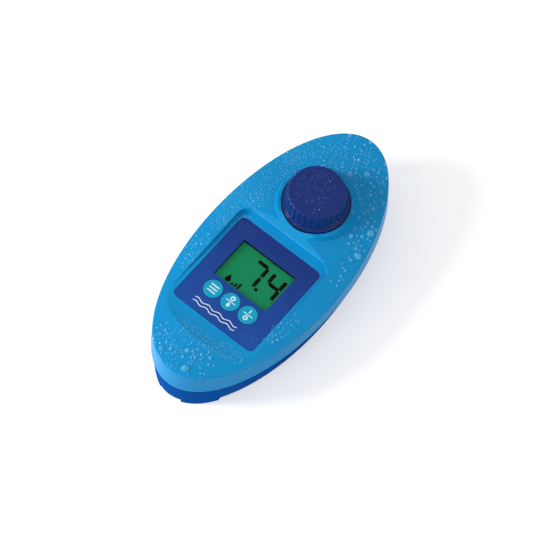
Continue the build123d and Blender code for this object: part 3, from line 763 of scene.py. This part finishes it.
# a zone is x, y, half width, half length, turn, count, smallest and largest radius; a single is x, y, radius
shellBeads = {
    "height": 0.42, "lowest": 29,
    "zones": [
        (-27, 26, 9, 30, -8, 620, 0.26, 0.62),
        (-18, 55, 12, 18, -25, 300, 0.28, 0.75),
        (-31, 6, 7, 14, 0, 110, 0.28, 0.70),
        (-32, -17, 5, 16, 4, 70, 0.35, 0.85),
        (2, 66, 17, 12, 0, 190, 0.45, 1.15),
        (14, 52, 14, 14, 0, 110, 0.40, 1.10),
        (27, 34, 7, 16, 0, 40, 0.45, 1.30),
        (32, 18, 4, 12, 0, 14, 0.60, 1.10),
        (2, -68, 15, 10, 0, 150, 0.40, 1.00),
        (-10, -66, 8, 9, 0, 70, 0.40, 0.90),
        (2, -56, 17, 4, 0, 240, 0.25, 0.50),
        (17, -53, 8, 4, 0, 120, 0.25, 0.50),
        (28, -27, 4, 12, -12, 60, 0.40, 0.80),
    ],
    "single": [
        (6.0, -73.9, 2.0), (1.0, -66.0, 1.4), (-9.5, -73.0, 1.3), (32.3, 27.3, 1.9), (29.8, 40.5, 2.0),
        (3.0, 57.5, 1.7), (9.5, 63.0, 1.8),
    ],
}
labelBeads = {
    "height": 0.42, "lowest": 30,
    "zones": [(-18, 4, 6, 3.5, 0, 60, 0.20, 0.38), (18, -39.5, 6, 4.5, 0, 70, 0.20, 0.38)],
    "single": [],
}
capBeads = {
    "height": 0.22, "lowest": 50,
    "zones": [(-2, 36, 10, 10, 0, 200, 0.22, 0.50), (4, 31, 7, 7, 0, 40, 0.22, 0.50)],
    "single": [(1.5, 43.0, 0.7)],
}


def topSurface(name):
    # what the drops lie on, as a search tree
    bm = bmesh.new()
    bm.from_mesh(nodes[name].data if name in nodes else bpy.data.objects[name].data)
    tree = BVHTree.FromBMesh(bm)
    bm.free()
    return tree


def dropOn(tree, x, y):
    # where a plumb line meets the surface
    return tree.ray_cast(Vector((x * mm, y * mm, beads["above"] * mm)), Vector((0, 0, -1)))


class Scatter:
    # drops that don't touch each other, kept in a coarse grid of cells
    def __init__(self, tree, lowest):
        self.tree = tree
        self.lowest = lowest
        self.cells = {}
        self.chosen = []

    def cellOf(self, x, y):
        return int(x // beads["cell"]), int(y // beads["cell"])

    def fits(self, x, y, radius):
        column, row = self.cellOf(x, y)
        around = [(column + a, row + b) for a in (-1, 0, 1) for b in (-1, 0, 1)]
        for ox, oy, other in [drop for cell in around for drop in self.cells.get(cell, [])]:
            if math.hypot(x - ox, y - oy) < (radius + other) * beads["apart"]:
                return False
        return True

    def isLevel(self, x, y, radius, height):
        # no edge or step under the drop
        for dx, dy in ((radius, 0), (-radius, 0), (0, radius), (0, -radius)):
            near = dropOn(self.tree, x + dx, y + dy)[0]
            if near is None or abs(near.z - height) > radius * beads["step"] * mm:
                return False
        return True

    def put(self, x, y, radius):
        hit, normal = dropOn(self.tree, x, y)[:2]
        if hit is None or normal.z < beads["flattest"] or hit.z < self.lowest * mm:
            return
        if self.fits(x, y, radius) and self.isLevel(x, y, radius, hit.z):
            self.cells.setdefault(self.cellOf(x, y), []).append((x, y, radius))
            self.chosen.append((hit, normal, radius))


def scatterZone(drops, zone, dice):
    x, y, wide, long, turn, count, small, large = zone
    c, s = math.cos(math.radians(turn)), math.sin(math.radians(turn))
    for n in range(count):
        out = dice.random() ** beads["crowding"]
        angle = dice.random() * math.tau
        a, b = wide * out * math.cos(angle), long * out * math.sin(angle)
        size = small + (large - small) * dice.random() ** beads["smallness"]
        drops.put(x + a * c - b * s, y + a * s + b * c, size)


def beadMesh(bm, hit, normal, radius, height, dice):
    made = bmesh.ops.create_uvsphere(
        bm, u_segments=beads["sides"], v_segments=beads["rings"], radius=1,
    )["verts"]
    lower = [v for v in made if v.co.z < beads["cutBelow"]]
    kept = [v for v in made if v.co.z >= beads["cutBelow"]]
    bmesh.ops.delete(bm, geom=lower, context="VERTS")
    tall = height * (1 - beads["uneven"] / 2 + beads["uneven"] * dice.random())
    stretch = 1 + beads["oval"] * (dice.random() - 0.5)
    turn = Matrix.Rotation(dice.random() * math.tau, 4, "Z")
    shape = Matrix.Diagonal((radius * stretch * mm, radius / stretch * mm, radius * 2 * tall * mm, 1))
    lean = normal.to_track_quat("Z", "Y").to_matrix().to_4x4()
    bmesh.ops.transform(bm, matrix=Matrix.Translation(hit) @ lean @ turn @ shape, verts=kept)


def makeDrops(name, surface, sizes, material, body, dice):
    drops = Scatter(topSurface(surface), sizes["lowest"])
    for x, y, radius in sizes["single"]:
        drops.put(x, y, radius)
    for zone in sizes["zones"]:
        scatterZone(drops, zone, dice)
    bm = bmesh.new()
    batch = bpy.data.meshes.new("beadBatch")
    for start in range(0, len(drops.chosen), beads["batch"]):
        few = bmesh.new()  # small batches keep the operators quick
        for hit, normal, radius in drops.chosen[start:start + beads["batch"]]:
            beadMesh(few, hit, normal, radius, sizes["height"], dice)
        few.to_mesh(batch)
        few.free()
        bm.from_mesh(batch)
    bpy.data.meshes.remove(batch)
    for v in bm.verts:
        v.co.z = min(v.co.z, cap["top"] * mm)  # nothing stands above the cap's rim
    newPiece(name, bm, material, body, sharp=180)
    print(name, len(drops.chosen))


dice = random.Random(beads["seed"])
makeDrops("shell_drops", "upper_shell", shellBeads, dropWater, "housing", dice)
makeDrops("label_drops", "front_label", labelBeads, filmWater, "housing", dice)
makeDrops("cap_drops", "cap_grip", capBeads, filmWater, "cap", dice)


# Floor, light and camera

studio = {
    "world": 0.48, "floorSize": 6.0, "floorGrey": 0.93, "floorLift": 0.36,
    "lamps": [
        # name, place and aim in metres, size, watts
        ("keyLight", (-0.44, -0.40, 0.42), (0, -0.01, 0.02), 0.28, 3.7),
        ("noseLight", (-0.25, -1.10, 0.22), (0, 0.03, 0.03), 0.20, 1.6),
        ("fillLight", (0.85, 0.10, 0.80), (0, 0, 0.02), 0.60, 2.5),
    ],
}
view = {
    "target": (0.79, -1.64, 20.0), "distance": 1630.5, "elevation": 66.57, "azimuth": 35.42, "roll": 3.92,
    "lens": 220.56, "sensor": 36,
}


def floorWhite():
    # pale floor, lifted to white where the camera sees it or its reflection
    finish = Finish("floorWhite")
    seenBy = ("Is Camera Ray", "Is Glossy Ray", "Is Transmission Ray")
    camera, glossy, through = finish.outlets(finish.node("LightPath"), seenBy)
    return finish.surface(
        Base_Color=(studio["floorGrey"],) * 3, Roughness=0.9, Specular_IOR_Level=0.1,
        Emission_Color=(1, 1, 1), Emission_Strength=(camera + glossy + through) * studio["floorLift"],
    )


def makeFloor():
    bm = bmesh.new()
    bmesh.ops.create_grid(bm, x_segments=1, y_segments=1, size=studio["floorSize"] / 2)
    mesh = bpy.data.meshes.new("floor")
    bm.to_mesh(mesh)
    bm.free()
    mesh.materials.append(floorWhite())
    floor = bpy.data.objects.new("floor", mesh)
    bpy.context.scene.collection.objects.link(floor)


def makeLamps():
    for name, place, aim, size, watts in studio["lamps"]:
        lamp = bpy.data.lights.new(name, "AREA")
        lamp.shape = "DISK"
        lamp.size = size
        lamp.energy = watts
        holder = bpy.data.objects.new(name, lamp)
        holder.location = place
        holder.rotation_euler = (Vector(place) - Vector(aim)).to_track_quat("Z", "Y").to_euler()
        bpy.context.scene.collection.objects.link(holder)


def makeWorld():
    world = bpy.data.worlds.new("studioWorld")
    world.use_nodes = True
    back = world.node_tree.nodes["Background"]
    back.inputs["Color"].default_value = (1, 1, 1, 1)
    back.inputs["Strength"].default_value = studio["world"]
    bpy.context.scene.world = world


def makeCamera():
    data = bpy.data.cameras.new("photoCamera")
    data.lens = view["lens"]
    data.sensor_width = view["sensor"]
    data.clip_end = 20
    turn, tip, roll = (math.radians(view[key]) for key in ("azimuth", "elevation", "roll"))
    look = Vector((math.sin(turn) * math.cos(tip), -math.cos(turn) * math.cos(tip), math.sin(tip)))
    level = Vector((math.cos(turn), math.sin(turn), 0))
    upright = look.cross(level)
    right = math.cos(roll) * level + math.sin(roll) * upright
    up = look.cross(right)
    place = Vector(view["target"]) * mm + look * view["distance"] * mm
    camera = bpy.data.objects.new("photoCamera", data)
    camera.matrix_world = Matrix.Translation(place) @ Matrix((right, up, look)).transposed().to_4x4()
    bpy.context.scene.collection.objects.link(camera)
    bpy.context.scene.camera = camera


makeFloor()
makeLamps()
makeWorld()
makeCamera()
bpy.context.scene.view_settings.view_transform = "Standard"
print("floor, lamps and camera made")
